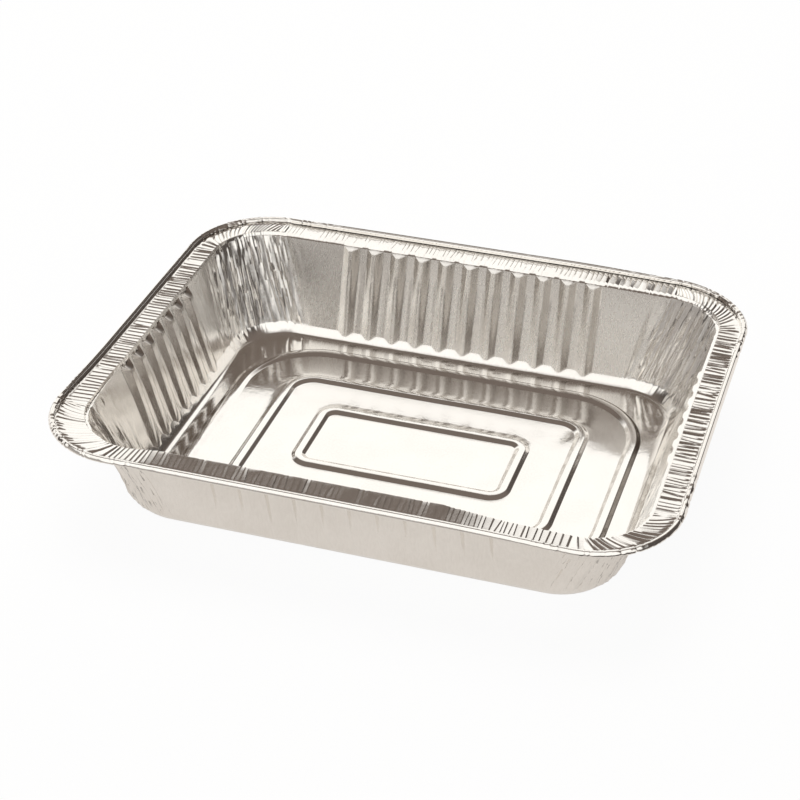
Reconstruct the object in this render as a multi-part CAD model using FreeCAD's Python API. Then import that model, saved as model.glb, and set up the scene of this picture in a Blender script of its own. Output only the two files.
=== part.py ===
import FreeCAD, Part
import math
import os

# Foil food container: one pressed sheet of aluminium foil.
# Millimetres. X is the long way, Z is up, and the underside of the floor lies on Z = 0.
# An inset is a distance inwards from the outer edge of the rim, seen from above.

# Rim
rim_length = 314.4
rim_width = 254.4
rim_corner_radius = 45.7
overall_height = 56.5
foil = 0.2

# Hollow hem, rolled up and inwards along the edge
hem_width = 3.4
hem_height = 2.9
hem_gap = 0.225
hem_facets_per_quarter = 2

# Pleated flange inside the hem
pleat_margin = 0.6
pleated_width = 10.2
pleat_height = 0.8
pleat_pitch = 4.7
pleat_end_run = 1.2

# Step down from the flange to the ledge that the flutes hang from
step_run = 0.6
step_drop = 1.6
ledge_width = 1.4

# Fluted walls
wall_run = 13.6
flute_depth = 4.2
flute_land = 5.2
flute_side_run = 2.2
long_side_pitch = 13.85
short_side_pitch = 12.8
plain_wall_end = 18.0

# Creases gathered in the corners of the wall
crease_pitch = 5.1
crease_depth = 1.1

# Foot of the wall and the floor
foot_ledge_width = 1.6
foot_run = 0.8
foot_height = 3.0
floor_corner_radius = 25.4

# Stiffening beads pressed up in the floor, one inside the other
bead_margin = 7.6
bead_spacing = 27.0
bead_corner_radius = 45.0
bead_least_radius = 11.5
bead_width = 8.0
bead_top_width = 3.5
bead_height = 1.3

# Corners of a face that are nearer to one plane than this count as level with it
flat_tolerance = 1e-7

# Places that follow from the sizes above
half_length = rim_length / 2
half_width = rim_width / 2
flange_top = overall_height - hem_height + foil
ledge_top = flange_top - step_drop
pleat_outer_inset = hem_width + pleat_margin
flange_inner_inset = pleat_outer_inset + pleated_width
ledge_outer_inset = flange_inner_inset + step_run
wall_top_inset = ledge_outer_inset + ledge_width
wall_foot_inset = wall_top_inset + wall_run
foot_ledge_inset = wall_foot_inset + flute_depth + foot_ledge_width
floor_inset = foot_ledge_inset + foot_run
floor_top = foil
foot_ledge_top = floor_top + foot_height


def rim_radius(inset):
    """Corner radius of a line round the rim, which shares its corner centres."""
    return rim_corner_radius - inset


def floor_radius(inset):
    """Corner radius of a line round the floor, which shares its corner centres."""
    return floor_corner_radius + floor_inset - inset


def corner_centre(quarter, half_x, half_y, radius):
    """Centre of one corner arc. Quarter 0 is +X +Y, and they run anticlockwise."""
    sign_x = 1 if quarter in (0, 3) else -1
    sign_y = 1 if quarter in (0, 1) else -1
    return sign_x * (half_x - radius), sign_y * (half_y - radius)


def corner_point(quarter, share, half_x, half_y, radius, swell=0.0):
    """Point on a corner arc, at a share of its quarter turn, moved out by swell."""
    centre_x, centre_y = corner_centre(quarter, half_x, half_y, radius)
    angle = math.radians(90 * (quarter + share))
    reach = radius + swell
    return centre_x + reach * math.cos(angle), centre_y + reach * math.sin(angle)


def rounded_wire(half_x, half_y, radius, z):
    """Rounded rectangle of four lines and four arcs."""
    edges = []
    for quarter in range(4):
        ends = [corner_point(quarter, share, half_x, half_y, radius) for share in (0, 0.5, 1)]
        start, middle, stop = [FreeCAD.Vector(x, y, z) for x, y in ends]
        edges.append(Part.Arc(start, middle, stop).toShape())
        next_x, next_y = corner_point((quarter + 1) % 4, 0, half_x, half_y, radius)
        edges.append(Part.LineSegment(stop, FreeCAD.Vector(next_x, next_y, z)).toShape())
    return Part.Wire(edges)


def ring_wire(inset, z, radius):
    return rounded_wire(half_length - inset, half_width - inset, radius, z)


def closed_wire(points):
    return Part.makePolygon(points + points[:1])


def flat_band(outer, inner):
    """Level face between two closed wires."""
    return Part.makeFace([outer, inner], "Part::FaceMakerBullseye")


def slope_band(lower, upper):
    """Sloping faces between two rounded wires that share their corner centres."""
    faces = []
    for low, high in zip(lower.Edges, upper.Edges):
        slope = Part.makeLine(low.Vertexes[0].Point, high.Vertexes[0].Point)
        if isinstance(low.Curve, Part.Circle):
            centre = low.Curve.Center
            faces.append(slope.revolve(centre, FreeCAD.Vector(0, 0, 1), 90))
        else:
            faces.append(slope.extrude(low.Vertexes[1].Point - low.Vertexes[0].Point))
    return faces


def quad(first, second, third, fourth):
    """Four-sided face, creased along a diagonal where its corners are out of plane."""
    lift = (third - first).cross(fourth - second).normalize().dot(second - first)
    if abs(lift) < flat_tolerance:
        return [Part.Face(closed_wire([first, second, third, fourth]))]
    return [triangle(first, second, third), triangle(first, third, fourth)]


def triangle(first, second, third):
    return Part.Face(closed_wire([first, second, third]))


def point_band(outer, inner):
    """Four-sided faces between two closed lines of matching points."""
    faces = []
    for i in range(len(outer)):
        j = (i + 1) % len(outer)
        faces += quad(outer[i], outer[j], inner[j], inner[i])
    return faces


def side_point(quarter, along, out):
    """Point beside the side that follows a corner, from its middle and square to it."""
    turn = math.radians(90 * (quarter + 1))
    return along * math.cos(turn + math.pi / 2) + out * math.cos(turn), \
        along * math.sin(turn + math.pi / 2) + out * math.sin(turn)


def side_half(quarter, half_x, half_y):
    """Half length of the side that follows a corner, and its distance from the middle."""
    return (half_x, half_y) if quarter in (0, 2) else (half_y, half_x)


def straight_runs(side_length):
    """Straight lengths of one side, at the rim and at the foot of the wall."""
    return side_length - 2 * rim_corner_radius, side_length - 2 * (floor_inset + floor_corner_radius)


def pleat_counts():
    """Whole numbers of pleats on a long side, a short side and a corner."""
    middle_radius = rim_radius(pleat_outer_inset + pleated_width / 2)
    long_run = straight_runs(rim_length)[0]
    short_run = straight_runs(rim_width)[0]
    corner_run = math.pi / 2 * middle_radius
    return [round(run / pleat_pitch) for run in (long_run, short_run, corner_run)]


def flute_centres(side_length, pitch):
    """Places of the flutes along one side, as many as fit between its plain ends."""
    count = int((min(straight_runs(side_length)) - 2 * plain_wall_end) / pitch)
    return [(i - (count - 1) / 2) * pitch for i in range(count)]


def pleat_points(inset, z, phase=0.0):
    """One point a pleat along a line round the rim, phase being a share of a pleat."""
    half_x = half_length - inset
    half_y = half_width - inset
    radius = rim_radius(inset)
    on_long, on_short, on_corner = pleat_counts()
    points = []
    for quarter in range(4):
        for i in range(on_corner):
            x, y = corner_point(quarter, (i + phase) / on_corner, half_x, half_y, radius)
            points.append(FreeCAD.Vector(x, y, z))
        half_run, out = side_half(quarter, half_x, half_y)
        straight = half_run - radius
        count = on_long if quarter in (0, 2) else on_short
        for i in range(count):
            along = straight * (2 * (i + phase) / count - 1)
            x, y = side_point(quarter, along, out)
            points.append(FreeCAD.Vector(x, y, z))
    return points


def crease_count():
    """Whole number of creases round one corner of the wall."""
    return round(math.pi / 2 * rim_radius(wall_top_inset) / crease_pitch)


def wall_points(inset, z, radius, skin):
    """Line round the wall at one height, with its flutes and its corner creases."""
    half_x = half_length - inset
    half_y = half_width - inset
    miter = skin * math.tan(math.atan2(flute_depth, flute_side_run) / 2)
    land = flute_land / 2 - miter
    foot = flute_land / 2 + flute_side_run - miter
    points = []
    for quarter in range(4):
        steps = 2 * crease_count()
        for i in range(steps + 1):
            at_end = i in (0, steps)
            swell = 0.0 if at_end else crease_depth / 2 * (-1) ** i
            x, y = corner_point(quarter, i / steps, half_x, half_y, radius, swell)
            points.append(FreeCAD.Vector(x, y, z))
        is_long = quarter in (0, 2)
        side_length = rim_length if is_long else rim_width
        pitch = long_side_pitch if is_long else short_side_pitch
        out = side_half(quarter, half_x, half_y)[1]
        for centre in flute_centres(side_length, pitch):
            for shift, depth in ((-foot, 0), (-land, flute_depth), (land, flute_depth), (foot, 0)):
                x, y = side_point(quarter, centre + shift, out - depth)
                points.append(FreeCAD.Vector(x, y, z))
    return points


def pleated_flange(skin):
    """Ribs across the flange, closed at their outer ends by a short slope."""
    level = flange_top - skin
    crest_outer = pleat_outer_inset + pleat_end_run
    valley_out = pleat_points(pleat_outer_inset - skin, level)
    valley_in = pleat_points(flange_inner_inset - skin, level)
    crest_out = pleat_points(crest_outer - skin, level + pleat_height, 0.5)
    crest_in = pleat_points(flange_inner_inset - skin, level + pleat_height, 0.5)
    faces = []
    for i in range(len(valley_out)):
        j = (i + 1) % len(valley_out)
        faces.append(triangle(valley_out[i], valley_out[j], crest_out[i]))
        faces += quad(valley_out[i], crest_out[i], crest_in[i], valley_in[i])
        faces += quad(crest_out[i], valley_out[j], valley_in[j], crest_in[i])
        faces.append(triangle(valley_in[i], valley_in[j], crest_in[i]))
    return faces


def step_and_ledge(skin, wall_top):
    """Short slope under the flange's inner edge, and the level ledge at its foot."""
    edge = pleat_points(flange_inner_inset - skin, flange_top - skin)
    root = pleat_points(ledge_outer_inset - skin, ledge_top - skin)
    return point_band(edge, root) + [flat_band(closed_wire(root), closed_wire(wall_top))]


def foot_and_floor(skin, wall_foot):
    """Level ledge and cove at the wall's foot, then the floor with its beads."""
    ledge = ring_wire(foot_ledge_inset - skin, foot_ledge_top - skin, floor_radius(foot_ledge_inset - skin))
    level = floor_top - skin
    edge = ring_wire(floor_inset - skin, level, floor_radius(floor_inset - skin))
    faces = [flat_band(closed_wire(wall_foot), ledge)] + slope_band(ledge, edge)
    slope_run = (bead_width - bead_top_width) / 2
    section = ((0, 0), (slope_run, bead_height), (bead_width - slope_run, bead_height), (bead_width, 0))
    room = half_width - floor_inset - bead_margin - bead_width
    for i in range(int(room / bead_spacing) + 1):
        start = floor_inset + bead_margin + i * bead_spacing
        radius = max(bead_corner_radius - i * bead_spacing, bead_least_radius)
        rings = [ring_wire(start + run, level + rise, radius - run) for run, rise in section]
        faces.append(flat_band(edge, rings[0]))
        faces += slope_band(rings[0], rings[1])
        faces.append(flat_band(rings[1], rings[2]))
        faces += slope_band(rings[2], rings[3])
        edge = rings[3]
    faces.append(Part.Face(edge))
    return faces


def hem_turns():
    """Angles round the hem's section, from its bottom outwards and over to its free edge."""
    facet_turn = math.pi / 2 / hem_facets_per_quarter
    turns = [facet_turn * i - math.pi / 2 for i in range(3 * hem_facets_per_quarter + 1)]
    edge_drop = hem_height / 2 - foil - hem_gap
    return turns + [math.pi + math.asin(edge_drop / (hem_height / 2))]


def hem_rings(skin):
    """Rings round the hem's section, on its outer skin or one foil inside it."""
    centre_inset = hem_width / 2
    centre_z = overall_height - hem_height / 2
    reach_in = hem_width / 2 - skin
    reach_up = hem_height / 2 - skin
    rings = []
    for turn in hem_turns():
        inset = centre_inset - reach_in * math.cos(turn)
        z = centre_z + reach_up * math.sin(turn)
        rings.append(ring_wire(inset, z, rim_radius(inset)))
    return rings


def hem():
    """Rolled sheet: its outer skin, its inner skin and the cut edge that joins them."""
    outer = hem_rings(0)
    inner = hem_rings(foil)
    faces = slope_band(outer[-1], inner[-1])
    for rings in (outer, inner):
        for lower, upper in zip(rings, rings[1:]):
            faces += slope_band(lower, upper)
    top_line = closed_wire(pleat_points(pleat_outer_inset, flange_top))
    under_line = closed_wire(pleat_points(pleat_outer_inset - foil, flange_top - foil))
    faces.append(flat_band(inner[0], top_line))
    faces.append(flat_band(outer[0], under_line))
    return faces


def foil_tray():
    """The whole sheet: an upper skin, an under skin one foil below, and the hem."""
    faces = hem()
    for skin in (0, foil):
        top_inset = wall_top_inset - skin
        foot_inset = wall_foot_inset - skin
        wall_top = wall_points(top_inset, ledge_top - skin, rim_radius(top_inset), skin)
        wall_foot = wall_points(foot_inset, foot_ledge_top - skin, floor_radius(foot_inset), skin)
        faces += pleated_flange(skin)
        faces += step_and_ledge(skin, wall_top)
        faces += point_band(wall_top, wall_foot)
        faces += foot_and_floor(skin, wall_foot)
    sheet = Part.makeCompound(faces)
    sheet.sewShape(1e-5)
    solid = Part.Solid(sheet.Shells[0])
    if solid.Volume < 0:
        solid.reverse()
    return solid


os.makedirs("parts", exist_ok=True)
tray = foil_tray()
tray.exportStep("parts/foil_tray.step")
box = tray.BoundBox
print("foil_tray", len(tray.Faces), "faces, valid", tray.isValid(), "closed", tray.Shells[0].isClosed())
print("size", round(box.XLength, 3), round(box.YLength, 3), round(box.ZLength, 3), "base", round(box.ZMin, 3))
print("volume", round(tray.Volume, 1), "area", round(tray.Area, 1))
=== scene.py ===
# %% [markdown]
# # A pressed foil food container
#
# The object is one sheet of thin aluminium foil. A press has turned up its walls, folded flutes into
# them, gathered the spare foil in the corners, pleated the flange and rolled the edge into a hem.
# The lesson models that sheet as it is made: a flat strip with one line of vertices for each line
# of the section, which is then folded round the outline of the tray.

import math
import random

import bmesh
import bpy
from mathutils import Matrix, Vector, noise


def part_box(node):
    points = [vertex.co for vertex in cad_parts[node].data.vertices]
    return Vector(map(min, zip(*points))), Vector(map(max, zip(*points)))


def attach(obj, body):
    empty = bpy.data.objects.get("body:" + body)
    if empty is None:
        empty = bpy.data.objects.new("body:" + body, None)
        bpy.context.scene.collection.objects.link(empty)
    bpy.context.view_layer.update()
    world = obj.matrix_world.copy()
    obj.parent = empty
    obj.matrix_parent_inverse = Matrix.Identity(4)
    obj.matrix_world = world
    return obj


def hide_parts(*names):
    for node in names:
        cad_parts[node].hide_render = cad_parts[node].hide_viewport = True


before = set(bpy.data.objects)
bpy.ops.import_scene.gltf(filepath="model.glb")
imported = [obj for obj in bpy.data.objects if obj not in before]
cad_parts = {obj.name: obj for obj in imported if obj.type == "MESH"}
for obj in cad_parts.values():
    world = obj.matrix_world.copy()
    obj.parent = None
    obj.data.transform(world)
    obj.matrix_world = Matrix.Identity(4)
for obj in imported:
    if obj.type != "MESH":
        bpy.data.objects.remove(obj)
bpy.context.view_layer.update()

# %% [markdown]
# ## Sizes
#
# Everything is in millimetres until the last step, because foil is measured so. The box of the
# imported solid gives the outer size. The sizes of the section follow the solid's closely.
# An inset is a distance inwards from the rim's outer edge, seen from above. Heights are those of
# the middle of the foil, because the foil gets its thickness last, half to each side.

# %% Sizes of the section
MM = 0.001
FOIL = 0.2
SKIN = FOIL / 2
box_low, box_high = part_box("foil_tray")
HALF_X = (box_high.x - box_low.x) / 2 / MM
HALF_Y = (box_high.y - box_low.y) / 2 / MM
TOP = box_high.z / MM

RIM_RADIUS = 45.7
HEM_HEIGHT = 2.9
FLANGE_Z = TOP - HEM_HEIGHT + SKIN
FLANGE_EDGE = 14.2
STEP_RUN = 1.3
LEDGE_DROP = 1.6
LEDGE_Z = FLANGE_Z - LEDGE_DROP
WALL_TOP = 16.2
WALL_FOOT = 30.6
WALL_FOOT_Z = 5.2
SKIRT_EDGE = 34.1
SKIRT_EDGE_Z = 1.3
COVE_EDGE = 37.8
CORNER_REACH = 61.8
FLOOR_Z = SKIN
FOOT_RADIUS = CORNER_REACH - WALL_FOOT
print("flange at", round(FLANGE_Z, 2), "mm, ledge at", round(LEDGE_Z, 2), "mm")

# %% [markdown]
# ## Columns: where the sheet is creased
#
# The flange's pleats lie over to one side, on the right the other way, so each has a long face
# and a short steep one. Two columns of vertices a pleat, a valley and a crest, give that. Three in
# the corners, where the foil is gathered more, give flat tops with narrow grooves between them.
# The wall below has other folds, at the edges of its flutes, so each column has one place on the
# flange and another one on the wall.
#
# The way round the tray has four quarters, each with a corner and then a side: first the back,
# then the left, the front and the right. A tuple of four values gives one for each of them.

# %% Places of the columns
draw = random.Random(41)

BACK, LEFT, FRONT, RIGHT = range(4)
PLEAT_PITCH = 2.7
CORNER_PLEAT_PITCH = 2.55
PLEATS_MIDDLE = 9.2
PLEAT_LAYS = (1, 1, 1, -1)
STEEP_SHARE = 0.22
EDGE_ROUNDING = 0.42
LONG_PITCH = 13.85
SHORT_PITCH = 12.8
LONG_SECTION = (2.2, 3.4, 3.4)
SHORT_SECTION = (4.0, 2.6, 2.6)
LONG_FLUTES = [LONG_PITCH * (i - 5) for i in range(11)]
SHORT_FLUTES = [SHORT_PITCH * (i - 3) for i in range(7)]
FLUTES = ((LONG_FLUTES, LONG_SECTION), (SHORT_FLUTES, SHORT_SECTION)) * 2


def straight_run(quarter):
    """Half the straight length of a side at the rim."""
    return (HALF_X if quarter in (BACK, FRONT) else HALF_Y) - RIM_RADIUS


def pleat_places(start, stop, pitch, in_corner):
    """Places of each pleat's valley and crest, with pleats of uneven width, and the fold there."""
    count = round((stop - start) / pitch)
    widths = [draw.uniform(0.65, 1.35) for _ in range(count)]
    scale = (stop - start) / sum(widths)
    places = []
    at = start
    for width in widths:
        height = draw.uniform(0.55, 1.0)
        places.append((at, -height))
        if in_corner:
            flat_start = at + width * scale * draw.uniform(0.22, 0.4)
            places.append((flat_start, height * draw.uniform(0.8, 1.05)))
        steep = STEEP_SHARE * draw.uniform(0.7, 1.4)
        places.append((at + width * scale * (1 - steep), height))
        at += width * scale
    return places


def flute_keys(centres, section):
    """Places on a side where the wall bends, two for each rounded edge of a flute.

    A section is the width of a flute's crown and of the sides before and after it.
    """
    crown, before, after = section
    bends = (-crown / 2 - before, -crown / 2, crown / 2, crown / 2 + after)
    edges = (-EDGE_ROUNDING, EDGE_ROUNDING)
    return [centre + bend + edge for centre in centres for bend in bends for edge in edges]


def wall_places(places, keys, stop):
    """As many places as the list given, through every key, evenly spread between keys."""
    order = [0]
    for key in keys:
        nearest = min(range(len(places)), key=lambda i: abs(places[i] - key))
        order.append(max(nearest, order[-1] + 1))
    order.append(len(places))
    anchors = [places[0]] + keys + [stop]
    result = []
    for i in range(len(anchors) - 1):
        first, last = order[i], order[i + 1]
        run = anchors[i + 1] - anchors[i]
        result += [anchors[i] + run * k / (last - first) for k in range(last - first)]
    return result


columns = []
arc = math.pi / 2 * (RIM_RADIUS - PLEATS_MIDDLE)
for quarter in (BACK, LEFT, FRONT, RIGHT):
    pleats = pleat_places(0, arc, CORNER_PLEAT_PITCH, True)
    for i, (place, fold) in enumerate(pleats):
        columns.append(("corner", quarter, place / arc, i / len(pleats), fold))
    straight = straight_run(quarter)
    pleats = pleat_places(-straight, straight, PLEAT_PITCH, False)
    on_wall = wall_places([place for place, fold in pleats], flute_keys(*FLUTES[quarter]), straight)
    for (place, fold), wall_place in zip(pleats, on_wall):
        columns.append(("side", quarter, place, wall_place, fold * PLEAT_LAYS[quarter]))
print(len(columns), "columns round the tray")

# %% [markdown]
# ## Rows: the lines of the section
#
# The section runs from the hem's free edge over the roll, back under it, and then inwards: the
# flange, a short step, a level ledge, the leaning wall, and the ledge and cove at its foot.
# Each row is a zone's name, an inset, a height and a share of the way through its zone.

# %% Places of the rows
HEM_LINE = [
    (2.55, 53.95), (3.1, 54.2), (3.28, 54.9), (3.2, 55.6), (2.95, 55.98), (2.72, 56.16), (2.58, 56.0),
    (2.44, 56.2), (2.02, 56.28), (1.88, 56.1), (1.74, 56.34), (1.45, 56.4), (1.15, 56.25), (0.3, 55.1),
    (0.1, 54.55), (0.42, 53.9), (1.7, 53.7),
]
rows = [("hem", inset, z, i / (len(HEM_LINE) - 1)) for i, (inset, z) in enumerate(HEM_LINE)]
FLANGE_START = 3.7
for inset in (FLANGE_START, 4.5, 6.7, 9.2, 11.8, 13.6, FLANGE_EDGE):
    rows.append(("flange", inset, FLANGE_Z, (inset - FLANGE_START) / (FLANGE_EDGE - FLANGE_START)))
rows.append(("step", FLANGE_EDGE + 0.15, FLANGE_Z - 0.25, 0.2))
rows.append(("step", FLANGE_EDGE + STEP_RUN, LEDGE_Z + 0.15, 1.0))
rows.append(("ledge", FLANGE_EDGE + STEP_RUN + 0.3, LEDGE_Z, 0.4))
for share in (0, 0.02, 0.06, 0.12, 0.2, 0.3, 0.4, 0.5, 0.6, 0.7, 0.8, 0.9, 0.97, 1.0):
    inset = WALL_TOP + (WALL_FOOT - WALL_TOP) * share
    rows.append(("wall", inset, LEDGE_Z + (WALL_FOOT_Z - LEDGE_Z) * share, share))
rows.append(("skirt", (WALL_FOOT + SKIRT_EDGE) / 2, (WALL_FOOT_Z + SKIRT_EDGE_Z) / 2, 0.5))
rows.append(("skirt", SKIRT_EDGE, SKIRT_EDGE_Z, 1.0))
rows.append(("cove", 34.9, 0.72, 0.3))
rows.append(("cove", 36.2, 0.3, 0.7))
rows.append(("cove", COVE_EDGE, FLOOR_Z, 1.0))
print(len(rows), "rows from the hem to the floor")

# %% [markdown]
# ## Folding the outline
#
# A point of the outline is found from its column, its inset and the corner radius there. On a side
# the flutes stand upright, so their columns keep their place at every height, and only the plain
# wall beside the corners narrows towards the floor.

# %% The outline
FLUTES_ENDS = (78.0, 46.0, 78.0, 46.0)


def outline(column, inset, radius, on_wall):
    """Point on the outline and the outward direction there. on_wall goes from 0, flange, to 1, wall."""
    kind, quarter, place, wall_place, fold = column
    if kind == "corner":
        share = place + (wall_place - place) * on_wall
        angle = math.pi / 2 * (quarter + share)
        sign_x = 1 if quarter in (BACK, RIGHT) else -1
        sign_y = 1 if quarter in (BACK, LEFT) else -1
        out = Vector((math.cos(angle), math.sin(angle)))
        centre = Vector((sign_x * (HALF_X - inset - radius), sign_y * (HALF_Y - inset - radius)))
        return centre + out * radius, out
    normal_angle = math.pi / 2 * (quarter + 1)
    out = Vector((round(math.cos(normal_angle)), round(math.sin(normal_angle))))
    along = Vector((-out.y, out.x))
    half_along, half_out = (HALF_X, HALF_Y) if quarter in (BACK, FRONT) else (HALF_Y, HALF_X)
    at = place + (wall_place - place) * on_wall
    full = half_along - RIM_RADIUS
    straight = half_along - inset - radius
    keep = FLUTES_ENDS[quarter]
    if inset > WALL_FOOT:
        foot_straight = half_along - WALL_FOOT - FOOT_RADIUS
        at = squeeze(at, keep, full, foot_straight) * straight / foot_straight
    elif on_wall > 0.99:
        at = squeeze(at, keep, full, straight)
    return out * (half_out - inset) + along * at, out


def squeeze(at, keep, full, straight):
    """A place past keep moves in, so that the side's end goes from full to straight."""
    if abs(at) <= keep:
        return at
    return math.copysign(keep + (abs(at) - keep) * (straight - keep) / (full - keep), at)


def radius_at(inset):
    """Corner radius of the outline at an inset."""
    if inset <= WALL_TOP:
        return RIM_RADIUS - inset
    if inset >= WALL_FOOT:
        return CORNER_REACH - inset
    top_radius = RIM_RADIUS - WALL_TOP
    return top_radius + (FOOT_RADIUS - top_radius) * (inset - WALL_TOP) / (WALL_FOOT - WALL_TOP)


print("corner radius", RIM_RADIUS, "mm at the rim,", round(radius_at(COVE_EDGE), 1), "at the floor's edge")

# %% [markdown]
# ## Flutes, gathers and waves
#
# The wall's shape comes from small functions: the flutes' own section, the gathers in the corners,
# which wander as they run down and die away on the plain wall beside them, and the soft waves of
# thin foil that has been handled. The noise has fixed places, so each run gives the same tray.

# %% Flutes and gathers
CORNER_ARC = 46
GATHER_HEIGHT = 1.2
GATHER_LEANS = (0.03, 0.07, -0.07, 0.07)
GATHER_REACHES = (12.0, 36.0, 12.0, 36.0)
GATHER_RESTS = (1.0, 0.55, 1.0, 0.55)


def smooth(low, high, value):
    """Smooth step from 0 at low to 1 at high."""
    share = min(max((value - low) / (high - low), 0.0), 1.0)
    return share * share * (3 - 2 * share)


def flute_height(centres, section, place):
    """How far in a flute stands at a place on a side, as a share of its depth."""
    crown, before, after = section
    nearest = min((place - centre for centre in centres), key=abs)
    side = after if nearest > 0 else before
    return min(max((crown / 2 + side - abs(nearest)) / side, 0.0), 1.0)


def gather(quarter, share, down):
    """Gathered foil in a corner: sharp folds that wander, in millimetres outwards."""
    lean = GATHER_LEANS[quarter] * (down - 0.5)
    at = (share + lean) * CORNER_ARC
    coarse = noise.noise(Vector((at * 0.22, down * 0.8, quarter * 7.3)))
    fine = noise.noise(Vector((at * 0.62, down * 1.1, quarter * 3.1 + 20)))
    finest = noise.noise(Vector((at * 1.35, down * 1.7, quarter * 5.7 + 40)))
    folded = 0.9 * coarse + 0.85 * fine + 0.6 * finest
    fade = 1 - 0.5 * smooth(0.9, 1, down)
    return GATHER_HEIGHT * folded * (0.4 + 0.6 * smooth(0.0, 0.1, down)) * fade


def side_gather(quarter, wall_place, down):
    """What is left of the corners' gathers on the plain wall next to them, in millimetres."""
    reach = GATHER_REACHES[quarter]
    from_start = wall_place + straight_run(quarter)
    to_end = straight_run(quarter) - wall_place
    near_start = (1 - smooth(0, reach, from_start)) * gather(quarter, 1 + from_start / CORNER_ARC, down)
    near_end = (1 - smooth(0, reach, to_end)) * gather((quarter + 1) % 4, -to_end / CORNER_ARC, down)
    return (near_start + near_end) * GATHER_RESTS[quarter]


def soft_wave(x, y, z):
    """Slow waves in the sheet, in millimetres."""
    return 0.16 * noise.noise(Vector((x, y, z)) / 30) + 0.02 * noise.noise(Vector((x, y, z)) / 9)


print(len(LONG_FLUTES), "flutes on a long side and", len(SHORT_FLUTES), "on a short one")

# %% [markdown]
# ## The rim: lean, crimps and pleats
#
# The flange is a level strip. At the front its inner edge has come up, so that it leans. The roll
# is pinched where the pleats of the corners run into it. The pleats themselves stand more or less:
# those of the back are flat on the left, and those of the right end are folded hard.

# %% Lean, crimps and pleats
FLANGE_RISE = 0.2
FRONT_RISE = 2.6
CRIMP_SHARE = 0.30
CORNER_PLEATS = 1.15
SIDE_PLEATS = (0.55, 0.8, 0.8, 1.25)
BACK_END_MORE = 1.0


def droop(quarter, kind, place):
    """How far the flange's inner edge stands above its outer one, in millimetres."""
    if kind == "side" and quarter == FRONT:
        lean = FRONT_RISE + 0.7 * noise.noise(Vector((place / 9, 4.0, 0.0)))
        return FLANGE_RISE + lean * smooth(-112, -84, place) * (1 - smooth(40, 85, place))
    return FLANGE_RISE


def hem_crimp(column, x, y):
    """Share by which the roll is pinched at a column. The corners are pinched at most pleats."""
    kind, quarter, place, wall_place, fold = column
    gate = smooth(-0.25, 0.25, noise.noise(Vector((x / 4.1, y / 4.1, 3.0))))
    if kind == "corner":
        near = 1.0
    else:
        near = 1 - smooth(5, 55, straight_run(quarter) - abs(place))
        near = max(near * near, 0.25 * smooth(0.3, 0.45, noise.noise(Vector((x / 21, y / 21, 8.0)))))
    rough = 0.12 * abs(noise.noise(Vector((x / 1.9, y / 1.9, 6.0))))
    return near * (CRIMP_SHARE * gate * max(-fold, 0) + rough)


def pleat_share(kind, quarter, place):
    """How strongly the pleats stand. Those of the back stand more towards its right end."""
    if kind == "corner":
        return CORNER_PLEATS
    if quarter == BACK:
        return SIDE_PLEATS[BACK] + BACK_END_MORE * (1 - smooth(-95, -35, place))
    return SIDE_PLEATS[quarter]


print("the front flange rises", round(droop(FRONT, "side", 0.0), 2), "mm towards its inner edge")

# %% [markdown]
# ## How the rim moves
#
# Each zone adds its own movement to the plain section, with one function for each zone. The hem is
# pinched, and on the left rolled over further. The flange is pleated, and its pleats run slanted.
#
# Each function also gives the finish a point's painted shade: 0 on open foil and up to 1 in the
# groove between two pleats. The mesh keeps that number as its fold attribute.

# %% Hem and flange
PLEAT_HEIGHT = 0.27
SLANTS = (2.4, 2.0, 2.4, 3.0)
SLANT_FADE = 12
CORNER_TURN = 0.13
HEM_MIDDLE = 1.7
HEM_MIDDLE_Z = 54.9
HEM_FLOOR = 53.95
HEM_TURN = 1.2
HEM_TILTS = (0.0, 0.28, 0.0, 0.0)


def move_hem(column, inset, z, spot):
    """Outward move, height and painted shade of a point of the roll."""
    pinch = hem_crimp(column, spot.x, spot.y)
    if inset > HEM_TURN:
        z -= HEM_TILTS[column[1]] * (z - HEM_FLOOR) * (inset - HEM_TURN)
    outward = (inset - HEM_MIDDLE) * pinch
    # Where the roll is pinched, painted shade darkens its colour.
    return outward, HEM_MIDDLE_Z + (z - HEM_MIDDLE_Z) * (1 - pinch), min(pinch * 3, 1)


def move_flange(column, inset, z, share, spot):
    """Point on the outline, height and painted shade of a point of the flange."""
    kind, quarter, place, wall_place, fold = column
    swell = smooth(3.6, 4.6, inset) * pleat_share(kind, quarter, place)
    z += PLEAT_HEIGHT * fold * swell + droop(quarter, kind, place) * share
    z += 0.25 * soft_wave(spot.x, spot.y, 0)
    if kind == "side":
        slant = SLANTS[quarter] * noise.noise(Vector((place / 5, quarter * 9.0, 7.0))) * (share - 0.4)
        near = min(straight_run(quarter) - abs(place), SLANT_FADE) / SLANT_FADE
        moved = place + slant * near
    else:
        inside = smooth(0, 0.2, place) * smooth(0, 0.2, 1 - place)
        lay = 1 if quarter in (BACK, RIGHT) else -1
        moved = place + CORNER_TURN * lay * (1 - share) * inside
    spot, out = outline((kind, quarter, moved, wall_place, fold), inset, radius_at(inset), 0)
    # Painted shade darkens the pleats' valleys.
    return spot, z, min(max(-fold, 0) * swell, 1)


def move_step(column, z, share):
    """Outward move, height and painted shade of a point of the step, where the pleats run out."""
    kind, quarter, place, wall_place, fold = column
    stand = pleat_share(kind, quarter, place)
    z += (1 - share) * (PLEAT_HEIGHT * fold * stand + droop(quarter, kind, place)) * 0.8
    # Painted shade darkens the pleats' valleys as they run out.
    return 0.2 * fold * stand, z, max(-fold, 0) * 0.7


print("pleats stand up to", round(2 * PLEAT_HEIGHT * max(SIDE_PLEATS), 2), "mm from valley to crest")
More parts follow.
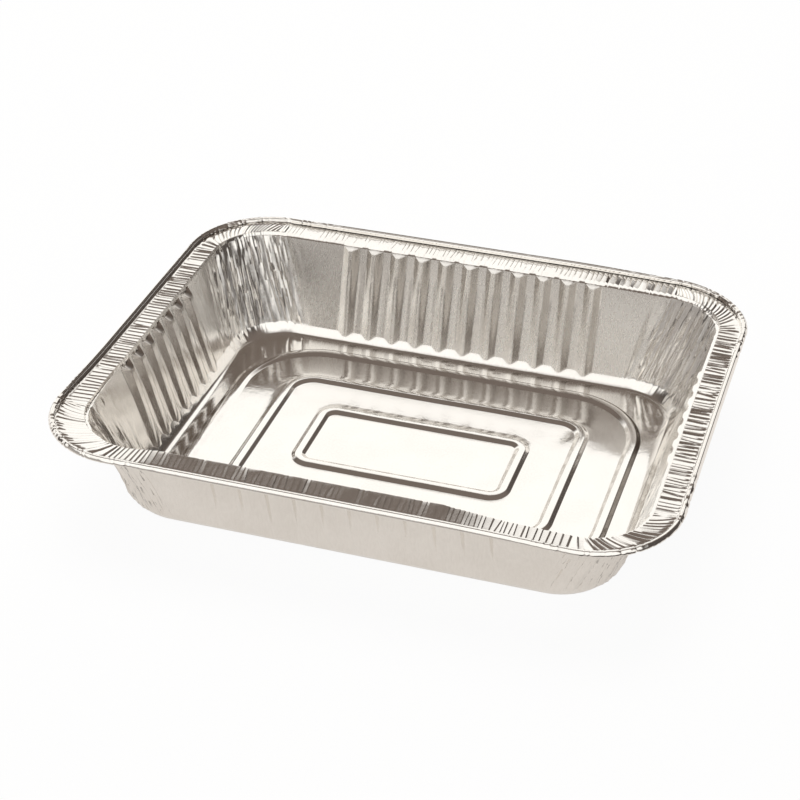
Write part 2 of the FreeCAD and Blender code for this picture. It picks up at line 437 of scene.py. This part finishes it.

# %% [markdown]
# ## How the walls move
#
# The sides are fluted and the corners gathered. A flute is deepest under its small shelf at the
# top and runs out towards the foot. Those of the right end are almost pressed flat, and those of
# the left end have deep shelves. Grooves get painted shade up to 1. The flute sides and shelves that
# should look darker than this studio would make them go up to 2, a painted dark reflection.

# %% Walls
FLUTE_DEPTH = 4.2
FLUTE_FOOT_DEPTH = 1.85
FLUTE_FOOT_DROP = 2.2
FLUTE_SHARES = (1.0, 1.0, 1.0, 0.3)
SHELF_DROPS = (0.4, 3.6, 0.4, 0.5)
PAINTED_DARK_SIDES = (2.0, 1.4, 0.0, 0.0)
PAINTED_DARK_SHELF = 2.0


def has_painted_dark_side(quarter, place):
    """Whether a place lies on the painted dark side of a flute: before the crown, on the left after it."""
    before = min((place - centre for centre in FLUTES[quarter][0]), key=abs) < 0
    return (quarter == BACK and before) or (quarter == LEFT and not before)


def move_side(column, zone, z, share, spot):
    """Outward move, height and painted shade of a point on a side's ledge, wall or skirt."""
    kind, quarter, place, wall_place, fold = column
    standing = flute_height(*FLUTES[quarter], wall_place)
    # Painted shade, and beyond 1 a painted dark reflection, on one side of each flute and on the left
    # shelves.
    painted_shade = 0.0
    if 0.05 < standing < 0.95 and has_painted_dark_side(quarter, wall_place) and zone == "wall" and share < 0.99:
        painted_shade = PAINTED_DARK_SIDES[quarter]
    standing *= FLUTE_SHARES[quarter]
    if quarter == LEFT and (zone == "ledge" or (zone == "wall" and share < 0.03)):
        painted_shade = PAINTED_DARK_SHELF * standing
    outward = 0.0
    if zone == "ledge":
        outward = -FLUTE_DEPTH * standing * 0.5
        z -= SHELF_DROPS[quarter] * standing * 0.5
    elif zone == "wall":
        outward = -standing * (FLUTE_DEPTH + (FLUTE_FOOT_DEPTH - FLUTE_DEPTH) * share)
        z -= standing * (SHELF_DROPS[quarter] * (1 - share) + FLUTE_FOOT_DROP * share)
        outward += soft_wave(spot.x, spot.y, z * 0.4) * smooth(0, 0.2, share) * (1 - 0.7 * share)
        outward += side_gather(quarter, wall_place, share)
    elif share < 1:
        outward = -standing * FLUTE_FOOT_DEPTH * 0.5
        z -= standing * FLUTE_FOOT_DROP * 0.5
    return outward, z, painted_shade


def move_corner(column, zone, share):
    """Outward move and painted shade of a point on a corner's ledge, wall or skirt."""
    down = {"ledge": 0.0, "wall": share, "skirt": 1.0}[zone]
    gathered = gather(column[1], column[3], down)
    kept = {"ledge": 0.5, "wall": 1.0, "skirt": 0.5 - share * 0.5}[zone]
    # Painted shade darkens the gathers' folds.
    return gathered * kept, min(max(gathered * 0.8, 0), 1)


print("flutes are", FLUTE_DEPTH, "mm deep at the top and", FLUTE_FOOT_DEPTH, "at the foot")

# %% [markdown]
# ## Wear
#
# This tray has been handled. Its left rim is pushed in a little, the wall of its front left corner
# has a shallow dent, and the two corners of the right end hang some two millimetres. The wear comes
# last, so one function can find a vertex's place from its column and its row.

# %% Wear and the place of a point
RIM_PUSH = 1.8
CORNER_DENT = 3.4
DENT_DIRECTION = Vector((1.0, 0.35))
END_DROP = 2.0


def wear(point, zone, z, share):
    """Place of a point in millimetres after the rim's push, the corner's dent and the end's drop."""
    if zone in ("hem", "flange", "step"):
        point.x += RIM_PUSH * smooth(60, 150, -point.x) * smooth(-105, -30, point.y)
    if zone not in ("hem", "skirt", "cove"):
        dent = smooth(70, 135, -point.x) * smooth(50, 112, -point.y) * smooth(3, 26, z)
        dent *= share if zone == "flange" else 1.0
        point += DENT_DIRECTION * CORNER_DENT * dent
    hang = smooth(50, 150, point.x) * smooth(15, 115, abs(point.y))
    z -= END_DROP * hang * (z / TOP) ** 2
    return Vector((point.x, point.y, min(z, TOP - SKIN)))


def sheet_point(index, row):
    """Place of a vertex in millimetres, and its painted shade."""
    zone, inset, z, share = row
    column = columns[index % len(columns)]
    on_wall = {"hem": 0, "flange": 0, "step": 0, "ledge": 0.5}.get(zone, 1)
    spot, out = outline(column, inset, radius_at(inset), on_wall)
    if zone in ("step", "ledge"):
        narrow = 0.35 + 0.65 * out.y * out.y
        inset = FLANGE_EDGE + (inset - FLANGE_EDGE) * narrow
        spot, out = outline(column, inset, radius_at(inset), on_wall)
    outward = 0.0
    # Painted shade, which each zone's function gives.
    painted_shade = 0.0
    if zone == "hem":
        outward, z, painted_shade = move_hem(column, inset, z, spot)
    elif zone == "flange":
        spot, z, painted_shade = move_flange(column, inset, z, share, spot)
    elif zone == "step":
        outward, z, painted_shade = move_step(column, z, share)
    elif zone != "cove" and column[0] == "side":
        outward, z, painted_shade = move_side(column, zone, z, share, spot)
    elif zone != "cove":
        outward, painted_shade = move_corner(column, zone, share)
    return wear(spot + out * outward, zone, z, share), painted_shade


top_row = max(rows, key=lambda row: row[2])
hem_heights = [sheet_point(i, top_row)[0].z for i in range(len(columns))]
print("the hem's top lies", round(min(hem_heights), 2), "to", round(max(hem_heights), 2), "mm high")

# %% [markdown]
# ## The sheet: a flat strip, folded
#
# The strip is a grid with a column for each crease and a row for each line of the section.
# Folding it only moves its vertices, so it stays one clean sheet, and then its two ends are joined.
#
# Two numbers stay with each vertex for the finish. One is the fold, which is its painted shade. The
# other is how satin the foil is, as drawn walls have slid along the press and mirror less clearly.

# %% Fold the strip
SATIN_WALLS = (0.85, 0.35, 0.3, 0.25)
SATIN_FLANGES = (0.3, 0.3, 0.7, 0.3)
SATIN_CORNERS = 0.25


def satin_share(kind, quarter, zone):
    """How satin the foil is at a column of a zone."""
    if zone == "wall":
        return SATIN_WALLS[quarter] if kind == "side" else SATIN_CORNERS
    if zone == "flange" and kind == "side":
        return SATIN_FLANGES[quarter]
    return 0.0


sheet = bmesh.new()
station = sheet.verts.layers.int.new("station")
# The fold attribute carries each vertex's painted shade to the finish.
painted_shade_layer = sheet.verts.layers.float.new("fold")
satin_layer = sheet.verts.layers.float.new("satin")
count = len(columns)
bmesh.ops.create_grid(sheet, x_segments=count, y_segments=len(rows) - 1, size=0.5)
inner_ring = []
first_column = {}
last_column = {}
for vert in sheet.verts:
    column_index = round((vert.co.x + 0.5) * count)
    row_index = round((vert.co.y + 0.5) * (len(rows) - 1))
    vert[station] = column_index % count
    vert.co, vert[painted_shade_layer] = sheet_point(column_index, rows[row_index])
    kind, quarter = columns[column_index % count][:2]
    vert[satin_layer] = satin_share(kind, quarter, rows[row_index][0])
    if column_index == 0:
        first_column[row_index] = vert
    if column_index == count:
        last_column[row_index] = vert
    if row_index == len(rows) - 1:
        inner_ring.append(vert)
bmesh.ops.weld_verts(sheet, targetmap={last_column[i]: first_column[i] for i in last_column})
print(len(sheet.faces), "faces from the hem to the floor")

# %% [markdown]
# ## The floor and its raised ridges
#
# The floor needs fewer columns than the rim, so its first ring merges each three into one. The
# edge of the hole is then drawn inwards ring by ring, over three rounded ridges, and the middle
# panel is closed. The ridges' corners are rounder the further out they lie. The outer ridge is
# pressed less high on the left. Its outer slope on the right is the darkest face, so it gets the
# darkest painted reflection here.

# %% Draw in the floor
BEAD_STARTS = (44.0, 71.0, 98.0)
BEAD_RADII = (45.0, 18.0, 11.5)
BEAD_LINE = (
    (0, 0), (0.35, 0.06), (0.8, 0.29), (1.95, 1.02), (2.35, 1.23), (2.75, 1.3),
    (5.25, 1.3), (5.65, 1.23), (6.05, 1.02), (7.2, 0.29), (7.65, 0.06), (8, 0),
)
LEFT_RIDGE_LOSS = 0.5
DARKEST_PAINTED_REFLECTION = 2.75
WAVES_START = 43.2

floor_rings = [(39.6, 0.0, 24.0)]
for start, radius in zip(BEAD_STARTS, BEAD_RADII):
    if start != BEAD_STARTS[0]:
        floor_rings.append((start - 3.0, 0.0, radius + 3.0))
    floor_rings += [(start + run, rise, radius - run) for run, rise in BEAD_LINE]
floor_rings += [(109.7, 0.0, 2.5), (118.2, 0.0, 1.0)]
outer_slope = {round(BEAD_STARTS[0] + run, 3) for run, rise in BEAD_LINE[1:5]}


def floor_point(index, inset, rise, radius):
    """Place of a vertex of the floor, with the slow waves that a thin floor has."""
    spot, out = outline(columns[index], inset, radius, 1)
    if inset <= BEAD_STARTS[0] + BEAD_LINE[-1][0]:
        rise *= 1 - LEFT_RIDGE_LOSS * smooth(0.6, 0.95, -out.x)
    wave = 0.30 * noise.noise(Vector((spot.x, spot.y, 0)) / 55)
    wave += 0.05 * noise.noise(Vector((spot.x, spot.y, 9)) / 14)
    inside = smooth(COVE_EDGE, WAVES_START, inset)
    wave *= inside * (1 - smooth(100, 108, inset))
    return Vector((spot.x, spot.y, max(FLOOR_Z + 0.12 * inside + rise + wave, FLOOR_Z)))


def ring_edges(ring):
    """Open edges between the vertices of a ring."""
    members = set(ring)
    edges = {edge for vert in ring for edge in vert.link_edges if edge.is_boundary}
    return [edge for edge in edges if edge.verts[0] in members and edge.verts[1] in members]


ring = [vert for vert in inner_ring if vert.is_valid]
for number, (inset, rise, radius) in enumerate(floor_rings):
    grown = bmesh.ops.extrude_edge_only(sheet, edges=ring_edges(ring))["geom"]
    ring = [item for item in grown if isinstance(item, bmesh.types.BMVert)]
    for vert in ring:
        if number == 0:
            vert[station] = min(vert[station] // 3 * 3 + 1, count - 1)
        vert.co = floor_point(vert[station], inset, rise, radius)
        to_right = outline(columns[vert[station]], inset, radius, 1)[1].x
        is_slope = round(inset, 3) in outer_slope
        # The right part of the outer ridge's outer slope gets the darkest painted reflection.
        vert[painted_shade_layer] = DARKEST_PAINTED_REFLECTION * smooth(0.6, 0.95, to_right) if is_slope else 0.0
        vert[satin_layer] = 0.0
    if number == 0:
        bmesh.ops.remove_doubles(sheet, verts=ring, dist=0.0001)
        ring = [vert for vert in ring if vert.is_valid]
panel = bmesh.ops.holes_fill(sheet, edges=ring_edges(ring), sides=0)["faces"]
bmesh.ops.triangulate(sheet, faces=panel)
print(len(sheet.faces), "faces with the floor")

# %% [markdown]
# ## Thickness
#
# The sheet so far has no thickness. It goes to metres, its normals are made to agree, and a
# Solidify modifier gives it the foil's thickness, half to each side. Folds sharper than some
# twenty degrees stay crisp, because foil creases and doesn't bend softly.

# %% Give the sheet its thickness
CRISP_ANGLE = 24
bmesh.ops.scale(sheet, vec=(MM, MM, MM), verts=sheet.verts)
bmesh.ops.recalc_face_normals(sheet, faces=sheet.faces)
if sum(face.normal.z * face.calc_area() for face in sheet.faces) < 0:
    bmesh.ops.reverse_faces(sheet, faces=sheet.faces)
sheet_mesh = bpy.data.meshes.new("foil_sheet")
sheet.to_mesh(sheet_mesh)
sheet.free()
sheet_mesh.shade_smooth()
sheet_mesh.set_sharp_from_angle(angle=math.radians(CRISP_ANGLE))
foil_sheet = bpy.data.objects.new("foil_sheet", sheet_mesh)
bpy.context.collection.objects.link(foil_sheet)
thickness = foil_sheet.modifiers.new("thickness", "SOLIDIFY")
thickness.thickness = FOIL * MM
thickness.offset = 0.0
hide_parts("foil_tray")
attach(foil_sheet, "root")
print("foil_sheet has", 2 * len(sheet_mesh.polygons), "faces on its two sides")

# %% [markdown]
# ## A small helper for materials
#
# Shader maths reads best as plain expressions, so one class wraps a socket and turns each
# operator into a Math node. Any other node comes from the method `node`.

# %% Sockets as expressions


class Socket:
    """An output socket that can be added to, multiplied and so on."""

    def __init__(self, tree, output):
        self.tree = tree
        self.output = output

    def node(self, kind, settings=None, output=0, **values):
        """Add a node, give it its settings and then its sockets' values or links."""
        made = self.tree.nodes.new(kind)
        for name, value in (settings or {}).items():
            setattr(made, name, value)
        for name, value in values.items():
            key = int(name[1:]) if name[0] == "_" and name[1:].isdigit() else name.replace("_", " ")
            target = made.inputs[key]
            if isinstance(value, Socket):
                self.tree.links.new(value.output, target)
            else:
                target.default_value = value
        return Socket(self.tree, made.outputs[output])

    def math(self, operation, first, second=0.0):
        """Add a Math node."""
        return self.node("ShaderNodeMath", {"operation": operation}, _0=first, _1=second)

    def __add__(self, other):
        return self.math("ADD", self, other)

    __radd__ = __add__

    def __sub__(self, other):
        return self.math("SUBTRACT", self, other)

    def __rsub__(self, other):
        return self.math("SUBTRACT", other, self)

    def __mul__(self, other):
        return self.math("MULTIPLY", self, other)


def soften(value, low, high):
    """Smooth step of a socket from 0 at low to 1 at high."""
    settings = {"interpolation_type": "SMOOTHSTEP"}
    return value.node("ShaderNodeMapRange", settings, Value=value, From_Min=low, From_Max=high)


def blend(share, first, second):
    """Mix two colours, each a socket or a plain colour, by a socket."""
    settings = {"data_type": "RGBA"}
    return share.node("ShaderNodeMix", settings, output=2, _0=share, _6=first, _7=second)


# %% [markdown]
# ## Rolled aluminium foil
#
# Bare foil is a mirror that is never quite flat. Rolling leaves it faintly streaked, and pressing
# leaves small ripples, so what it reflects is broken up. The metal's colour hardly varies, but
# grooves see more of the tray itself than of the room, so the fold paints shade into their colour.
# Folds over 1 paint a darker reflection into the few faces that mirror something darker than this
# plain studio has. The roughness comes from the satin number and some noise, and a bump in three
# sizes bends the reflections.

# %% The foil's finish
foil = bpy.data.materials.new("rolled_foil")
foil.use_nodes = True
tree = foil.node_tree
shader = tree.nodes["Principled BSDF"]
base = Socket(tree, None)
place = base.node("ShaderNodeTexCoord", output=3)
upright = place.node("ShaderNodeMapping", Vector=place, Scale=(1.0, 1.0, 0.07))
grain = place.node("ShaderNodeTexNoise", Vector=upright, Scale=900.0, Detail=3.0, Roughness=0.55)
ripple = place.node("ShaderNodeTexNoise", Vector=upright, Scale=150.0, Detail=2.0, Roughness=0.5)
dapple = place.node("ShaderNodeTexNoise", Vector=place, Scale=420.0, Detail=2.0, Roughness=0.5)
cloud = place.node("ShaderNodeTexNoise", Vector=place, Scale=38.0, Detail=2.0)
folded = place.node("ShaderNodeAttribute", {"attribute_name": "fold"}, output=2)
satin = place.node("ShaderNodeAttribute", {"attribute_name": "satin"}, output=2)
tone = soften(cloud, 0.3, 0.7) * 0.5 + soften(grain, 0.3, 0.7) * 0.5
bright = blend(tone, (0.87, 0.845, 0.81, 1), (0.94, 0.92, 0.89, 1))
# Painted shade darkens the grooves up to a fold of 1, and a painted dark reflection from 1 to 2.
shade = soften(folded, 0.25, 1.0) * 0.35 + soften(folded, 1.0, 2.0) * 0.42
shaded = blend(shade, bright, (0.42, 0.385, 0.35, 1))
# Folds from 2 to 3 paint the darkest reflection, on the outer ridge's right slope.
painted_dark_reflection = soften(folded, 2.0, 3.0) * 0.9
colour = blend(painted_dark_reflection, shaded, (0.17, 0.145, 0.125, 1))
tree.links.new(colour.output, shader.inputs["Base Color"])
shader.inputs["Metallic"].default_value = 1.0
rough = 0.06 + soften(grain, 0.25, 0.75) * 0.045 + soften(cloud, 0.3, 0.7) * 0.03 + satin * 0.2
tree.links.new(rough.output, shader.inputs["Roughness"])
relief = grain * 0.18 + ripple * 0.55 + dapple * 0.27
bump = place.node("ShaderNodeBump", Height=relief, Strength=0.16, Distance=0.0004)
tree.links.new(bump.output, shader.inputs["Normal"])
foil_sheet.data.materials.append(foil)
print("foil material has", len(tree.nodes), "nodes")

# %% [markdown]
# ## The camera
#
# The camera was fitted to the rim and to the ridges of the floor. It looks from the front, a
# little from the right, and down at about 33 degrees. Lengths are in millimetres. The base drop
# then lowers it by a little over a millimetre.

# %% Place the camera
AZIMUTH = math.radians(17.7811549)
ELEVATION = math.radians(33.1635882)
DISTANCE = 1028.44353
FOCAL_PIXELS = 1969.6817
SHIFT_RIGHT = -5.4599154
SHIFT_UP = 28.3834913
BASE_DROP = 1.2
PHOTO_WIDTH = 800
SENSOR_WIDTH = 36

back = Vector((
    math.sin(AZIMUTH) * math.cos(ELEVATION),
    -math.cos(AZIMUTH) * math.cos(ELEVATION),
    math.sin(ELEVATION),
))
right = Vector((math.cos(AZIMUTH), math.sin(AZIMUTH), 0))
up = back.cross(right)
eye = back * DISTANCE + right * SHIFT_RIGHT + up * SHIFT_UP - Vector((0, 0, BASE_DROP))
camera_data = bpy.data.cameras.new("photo_camera")
camera_data.sensor_width = SENSOR_WIDTH
camera_data.lens = FOCAL_PIXELS * SENSOR_WIDTH / PHOTO_WIDTH
camera_data.clip_start = 0.01
camera_data.clip_end = 50
camera = bpy.data.objects.new("photo_camera", camera_data)
bpy.context.collection.objects.link(camera)
turn = Matrix((right, up, back)).transposed().to_4x4()
camera.matrix_world = Matrix.Translation(eye * MM) @ turn
bpy.context.scene.camera = camera
print("camera at", [round(value, 3) for value in camera.location], "lens", round(camera_data.lens, 2))

# %% [markdown]
# ## The table
#
# The tray stands on a pale table. It looks white to the camera and pale in reflections, and keeps
# a soft shadow.

# %% The table
floor_mesh = bpy.data.meshes.new("studio_floor")
ground = bmesh.new()
bmesh.ops.create_circle(ground, cap_ends=True, segments=64, radius=6.0)
ground.to_mesh(floor_mesh)
ground.free()
floor = bpy.data.objects.new("studio_floor", floor_mesh)
bpy.context.collection.objects.link(floor)

paper = bpy.data.materials.new("studio_paper")
paper.use_nodes = True
tree = paper.node_tree
tree.nodes.remove(tree.nodes["Principled BSDF"])
base = Socket(tree, None)
rays = base.node("ShaderNodeLightPath")
is_camera = Socket(tree, rays.output.node.outputs["Is Camera Ray"])
is_glossy = Socket(tree, rays.output.node.outputs["Is Glossy Ray"])
is_through = Socket(tree, rays.output.node.outputs["Is Transmission Ray"])
plain = base.node("ShaderNodeBsdfDiffuse", Color=(0.86, 0.85, 0.84, 1))
glow = base.node("ShaderNodeEmission", Color=(1, 1, 1, 1), Strength=1.0)
mirrored = base.node("ShaderNodeEmission", Color=(0.86, 0.81, 0.76, 1), Strength=1.0)
seen = base.node("ShaderNodeMixShader", _0=is_camera * 0.94, _1=plain, _2=glow)
shown = base.node("ShaderNodeMixShader", _0=(is_glossy + is_through) * 0.55, _1=seen, _2=mirrored)
tree.links.new(shown.output, tree.nodes["Material Output"].inputs["Surface"])
floor_mesh.materials.append(paper)

# %% [markdown]
# ## The studio
#
# Foil shows the room rather than a colour of its own. The studio is a white wall behind the tray
# to the left, a broad window in front above the camera, a grey part low in front to the left, and
# a dark room elsewhere. A soft lamp that the foil doesn't mirror gives the table its shadow.

# %% The room and a soft lamp
world = bpy.data.worlds.new("studio")
bpy.context.scene.world = world
world.use_nodes = True
tree = world.node_tree
tree.nodes.remove(tree.nodes["Background"])
base = Socket(tree, None)
direction = base.node("ShaderNodeTexCoord", output=0)
parts = base.node("ShaderNodeSeparateXYZ", Vector=direction)
toward_x = Socket(tree, parts.output.node.outputs["X"])
toward_y = Socket(tree, parts.output.node.outputs["Y"])
toward_z = Socket(tree, parts.output.node.outputs["Z"])
behind = soften(toward_y, -0.05, 0.25)
left_of_edge = 1 - soften(toward_x - toward_y * 0.10, -0.02, 0.14)
low_enough = 1 - soften(toward_z - toward_y * 0.62, 0.17, 0.41)
wall_share = behind * left_of_edge * low_enough
in_front = soften(0 - toward_y, 0.12, 0.36)
window_share = in_front * soften(toward_z, 0.22, 0.36) * (1 - soften(toward_z, 0.82, 0.93))
upwards = soften(toward_z, 0.35, 0.8)
gloom = blend(upwards, (0.085, 0.073, 0.066, 1), (0.18, 0.148, 0.128, 1))
low_front = in_front * (1 - soften(toward_z, 0.14, 0.32)) * (1 - soften(toward_x, 0.0, 0.35))
surroundings = blend(low_front, gloom, (0.44, 0.41, 0.385, 1))
studio_colour = blend(wall_share + window_share, surroundings, (1.16, 1.14, 1.105, 1))
studio = base.node("ShaderNodeBackground", Color=studio_colour, Strength=1.0)
backdrop = base.node("ShaderNodeBackground", Color=(1, 1, 1, 1), Strength=1.0)
rays = base.node("ShaderNodeLightPath")
is_camera = Socket(tree, rays.output.node.outputs["Is Camera Ray"])
sky = base.node("ShaderNodeMixShader", _0=is_camera, _1=studio, _2=backdrop)
tree.links.new(sky.output, tree.nodes["World Output"].inputs["Surface"])

lamp_data = bpy.data.lights.new("soft_light", "AREA")
lamp_data.shape = "DISK"
lamp_data.size = 1.6
lamp_data.energy = 26
lamp = bpy.data.objects.new("soft_light", lamp_data)
lamp.location = (-0.3, 0.5, 1.9)
lamp.rotation_euler = (-Vector(lamp.location)).to_track_quat("-Z", "Y").to_euler()
lamp.visible_glossy = False
bpy.context.collection.objects.link(lamp)
bpy.context.scene.view_settings.view_transform = "Standard"

# %% [markdown]
# ## Finish
#
# The view layer is updated last, so that every object's place is current. The visual model may
# not grow out of the solid's box.

# %% Finish
bpy.context.view_layer.update()
